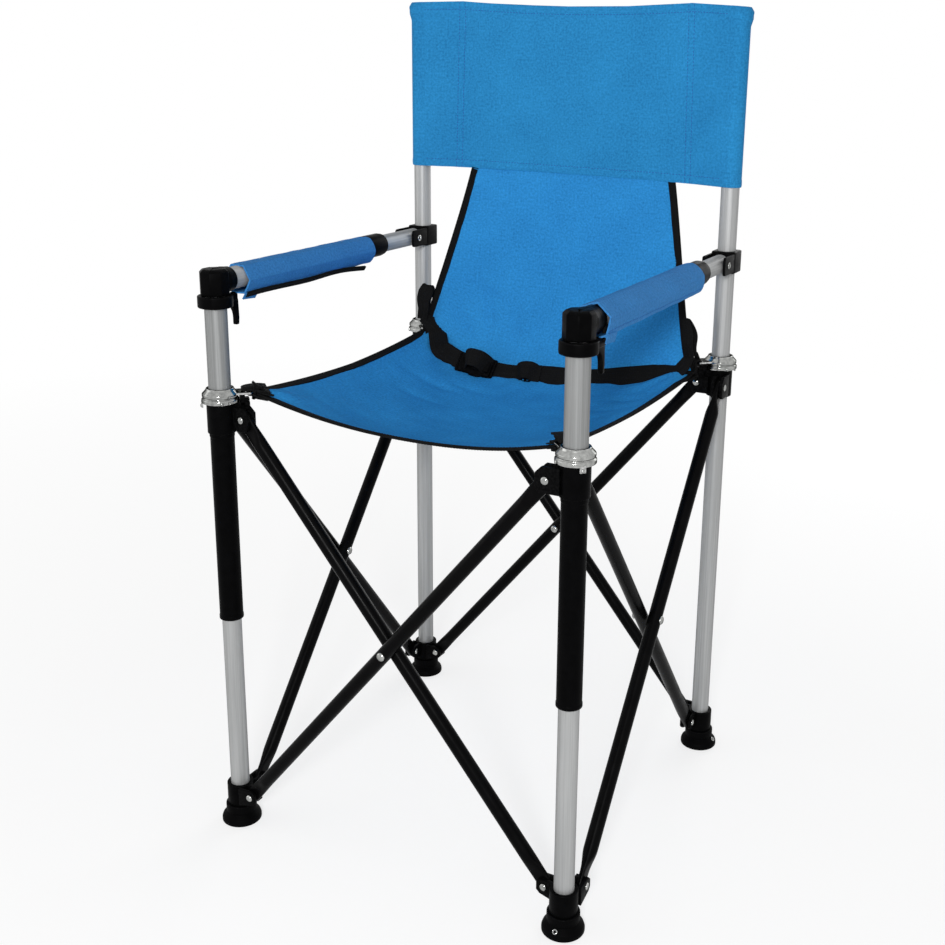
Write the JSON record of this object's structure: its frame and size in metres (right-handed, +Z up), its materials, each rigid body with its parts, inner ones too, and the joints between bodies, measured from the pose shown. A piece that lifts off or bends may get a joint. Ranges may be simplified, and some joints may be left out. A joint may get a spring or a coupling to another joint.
{
  "type": "high chair",
  "caption": "Folding high chair with scissor-braced tube legs, a sling seat with lap belt, a fabric backrest and swing-up padded armrests.",
  "frame": {"origin": "middle of the four feet, on the floor", "axes": "+Z up, the chair faces -Y, +X to the right of someone who looks at its front"},
  "size_m": [0.4758, 0.4758, 0.958],
  "materials": {
    "anodised_tube": "matte anodised",
    "black_plastic": "moulded, satin",
    "black_steel": "satin black paint",
    "zinc": "bright zinc plate",
    "blue_fabric": "plain-woven polyester",
    "black_webbing": "woven webbing"
  },
  "bodies": {
    "front_left_leg": {"front_left_post": "anodised_tube", "front_left_foot_pad": "black_plastic", "front_left_foot_bracket": "black_plastic"},
    "front_left_slider": {"front_left_slider_bracket": "black_plastic", "front_left_collar": "zinc", "front_left_sleeve": "black_plastic", "front_left_upper_tube": "anodised_tube", "front_left_cone_plug": "black_plastic"},
    "front_right_leg": {"front_right_post": "anodised_tube", "front_right_foot_pad": "black_plastic", "front_right_foot_bracket": "black_plastic"},
    "front_right_slider": {"front_right_slider_bracket": "black_plastic", "front_right_collar": "zinc", "front_right_sleeve": "black_plastic", "front_right_upper_tube": "anodised_tube", "front_right_cone_plug": "black_plastic"},
    "rear_right_leg": {"rear_right_post": "anodised_tube", "rear_right_foot_pad": "black_plastic", "rear_right_foot_bracket": "black_plastic"},
    "rear_right_slider": {"rear_right_slider_bracket": "black_plastic", "rear_right_collar": "zinc"},
    "rear_left_leg": {"rear_left_post": "anodised_tube", "rear_left_foot_pad": "black_plastic", "rear_left_foot_bracket": "black_plastic", "backrest_panel": "blue_fabric", "seat_back_cloth": "blue_fabric"},
    "rear_left_slider": {"rear_left_slider_bracket": "black_plastic", "rear_left_collar": "zinc"},
    "seat_front": {"seat_front_cloth": "blue_fabric"},
    "seat_rear": {"seat_rear_cloth": "blue_fabric", "lap_belt": "black_webbing", "belt_buckle": "black_plastic"},
    "front_outer_brace": {"front_outer_brace": "black_steel", "front_brace_rivet": "zinc"},
    "front_inner_brace": {"front_inner_brace": "black_steel"},
    "right_outer_brace": {"right_outer_brace": "black_steel", "right_brace_rivet": "zinc"},
    "right_inner_brace": {"right_inner_brace": "black_steel"},
    "rear_outer_brace": {"rear_outer_brace": "black_steel", "rear_brace_rivet": "zinc"},
    "rear_inner_brace": {"rear_inner_brace": "black_steel"},
    "left_outer_brace": {"left_outer_brace": "black_steel", "left_brace_rivet": "zinc"},
    "left_inner_brace": {"left_inner_brace": "black_steel"},
    "left_latch": {"left_latch_ring": "black_plastic"},
    "left_arm_bracket": {"left_arm_bracket": "black_plastic", "left_arm_rivet": "zinc"},
    "left_armrest": {"left_elbow": "black_plastic", "left_arm_outer_tube": "anodised_tube", "left_arm_inner_tube": "anodised_tube", "left_arm_bush": "black_plastic", "left_arm_cover": "blue_fabric"},
    "right_latch": {"right_latch_ring": "black_plastic"},
    "right_arm_bracket": {"right_arm_bracket": "black_plastic", "right_arm_rivet": "zinc"},
    "right_armrest": {"right_elbow": "black_plastic", "right_arm_outer_tube": "anodised_tube", "right_arm_inner_tube": "anodised_tube", "right_arm_bush": "black_plastic", "right_arm_cover": "blue_fabric"}
  },
  "joints": [
    {"name": "fold", "type": "hinge", "parent": "front_left_leg", "child": "front_outer_brace", "pos_m": [-0.19, -0.2234, 0.042], "axis": [0, -1, 0], "range_deg": [0, 34.6], "deforming": ["backrest_panel", "seat_back_cloth", "seat_rear_cloth", "seat_front_cloth", "lap_belt", "belt_buckle"]},
    {"name": "front_crossing", "type": "hinge", "parent": "front_outer_brace", "child": "front_inner_brace", "pos_m": [0, -0.215, 0.2735], "axis": [0, 1, 0], "range_deg": [0, 69.2]},
    {"name": "front_right_foot_pivot", "type": "hinge", "parent": "front_inner_brace", "child": "front_right_leg", "pos_m": [0.19, -0.2066, 0.042], "axis": [0, -1, 0], "range_deg": [0, 34.6]},
    {"name": "front_right_slider_pivot", "type": "hinge", "parent": "front_outer_brace", "child": "front_right_slider", "pos_m": [0.19, -0.2234, 0.505], "axis": [0, 1, 0], "range_deg": [0, 34.6]},
    {"name": "front_left_slider_pivot", "type": "hinge", "parent": "front_inner_brace", "child": "front_left_slider", "pos_m": [-0.19, -0.2066, 0.505], "axis": [0, -1, 0], "range_deg": [0, 34.6]},
    {"name": "front_left_foot_pivot", "type": "hinge", "parent": "front_left_leg", "child": "left_inner_brace", "pos_m": [-0.2066, -0.19, 0.042], "axis": [1, 0, 0], "range_deg": [0, 34.6]},
    {"name": "left_crossing", "type": "hinge", "parent": "left_inner_brace", "child": "left_outer_brace", "pos_m": [-0.215, 0, 0.2735], "axis": [-1, 0, 0], "range_deg": [0, 69.2]},
    {"name": "rear_left_foot_pivot", "type": "hinge", "parent": "left_outer_brace", "child": "rear_left_leg", "pos_m": [-0.2234, 0.19, 0.042], "axis": [1, 0, 0], "range_deg": [0, 34.6]},
    {"name": "rear_left_slider_pivot", "type": "hinge", "parent": "left_inner_brace", "child": "rear_left_slider", "pos_m": [-0.2066, 0.19, 0.505], "axis": [-1, 0, 0], "range_deg": [0, 34.6]},
    {"name": "right_foot_pivot", "type": "hinge", "parent": "front_right_leg", "child": "right_outer_brace", "pos_m": [0.2234, -0.19, 0.042], "axis": [1, 0, 0], "range_deg": [0, 34.6]},
    {"name": "right_crossing", "type": "hinge", "parent": "right_outer_brace", "child": "right_inner_brace", "pos_m": [0.215, 0, 0.2735], "axis": [-1, 0, 0], "range_deg": [0, 69.2]},
    {"name": "rear_right_foot_pivot", "type": "hinge", "parent": "right_inner_brace", "child": "rear_right_leg", "pos_m": [0.2066, 0.19, 0.042], "axis": [1, 0, 0], "range_deg": [0, 34.6]},
    {"name": "rear_right_slider_pivot", "type": "hinge", "parent": "right_outer_brace", "child": "rear_right_slider", "pos_m": [0.2234, 0.19, 0.505], "axis": [-1, 0, 0], "range_deg": [0, 34.6]},
    {"name": "rear_outer_foot_pivot", "type": "hinge", "parent": "rear_right_leg", "child": "rear_outer_brace", "pos_m": [0.19, 0.2234, 0.042], "axis": [0, 1, 0], "range_deg": [0, 34.6]},
    {"name": "rear_inner_foot_pivot", "type": "hinge", "parent": "rear_left_leg", "child": "rear_inner_brace", "pos_m": [-0.19, 0.2066, 0.042], "axis": [0, -1, 0], "range_deg": [0, 34.6]},
    {"name": "left_arm_bracket_slide", "type": "slide", "parent": "rear_left_leg", "child": "left_arm_bracket", "axis": [0, 0, 1], "range_m": [0, 0.0451]},
    {"name": "left_arm_swing", "type": "hinge", "parent": "left_arm_bracket", "child": "left_armrest", "pos_m": [-0.215, 0.182, 0.657], "axis": [-1, 0, 0], "range_deg": [0, 85.01]},
    {"name": "left_latch_pull", "type": "slide", "parent": "front_left_slider", "child": "left_latch", "axis": [0, 0, -1], "range_m": [0, 0.006], "stiffness_N_per_m": 400, "springref_m": -0.002},
    {"name": "right_arm_bracket_slide", "type": "slide", "parent": "rear_right_leg", "child": "right_arm_bracket", "axis": [0, 0, 1], "range_m": [0, 0.0451]},
    {"name": "right_arm_swing", "type": "hinge", "parent": "right_arm_bracket", "child": "right_armrest", "pos_m": [0.215, 0.182, 0.657], "axis": [-1, 0, 0], "range_deg": [0, 85.01]},
    {"name": "right_latch_pull", "type": "slide", "parent": "front_right_slider", "child": "right_latch", "axis": [0, 0, -1], "range_m": [0, 0.006], "stiffness_N_per_m": 400, "springref_m": -0.002},
    {"name": "seat_front_drop", "type": "hinge", "parent": "front_left_slider", "child": "seat_front", "pos_m": [0, -0.191, 0.5256], "axis": [-1, 0, 0], "range_deg": [0, 70.01]},
    {"name": "seat_rear_drop", "type": "hinge", "parent": "rear_left_slider", "child": "seat_rear", "pos_m": [0, 0.191, 0.5256], "axis": [1, 0, 0], "range_deg": [0, 66.01]}
  ],
  "couplings": [
    {"joint": "front_crossing", "follows": "fold", "ratio": 2},
    {"joint": "front_right_foot_pivot", "follows": "fold", "ratio": 1},
    {"joint": "front_right_slider_pivot", "follows": "fold", "ratio": 1},
    {"joint": "front_left_slider_pivot", "follows": "fold", "ratio": 1},
    {"joint": "front_left_foot_pivot", "follows": "fold", "ratio": 1},
    {"joint": "left_crossing", "follows": "fold", "ratio": 2},
    {"joint": "rear_left_foot_pivot", "follows": "fold", "ratio": 1},
    {"joint": "rear_left_slider_pivot", "follows": "fold", "ratio": 1},
    {"joint": "right_foot_pivot", "follows": "fold", "ratio": 1},
    {"joint": "right_crossing", "follows": "fold", "ratio": 2},
    {"joint": "rear_right_foot_pivot", "follows": "fold", "ratio": 1},
    {"joint": "rear_right_slider_pivot", "follows": "fold", "ratio": 1},
    {"joint": "rear_outer_foot_pivot", "follows": "fold", "ratio": 1},
    {"joint": "rear_inner_foot_pivot", "follows": "fold", "ratio": 1},
    {"joint": "left_arm_bracket_slide", "follows": "fold", "m_per_rad": 0.07452},
    {"joint": "left_arm_swing", "follows": "fold", "ratio": 2.4566},
    {"joint": "right_arm_bracket_slide", "follows": "fold", "m_per_rad": 0.07452},
    {"joint": "right_arm_swing", "follows": "fold", "ratio": 2.4566},
    {"joint": "seat_front_drop", "follows": "fold", "ratio": 2.0231},
    {"joint": "seat_rear_drop", "follows": "fold", "ratio": 1.9075}
  ]
}
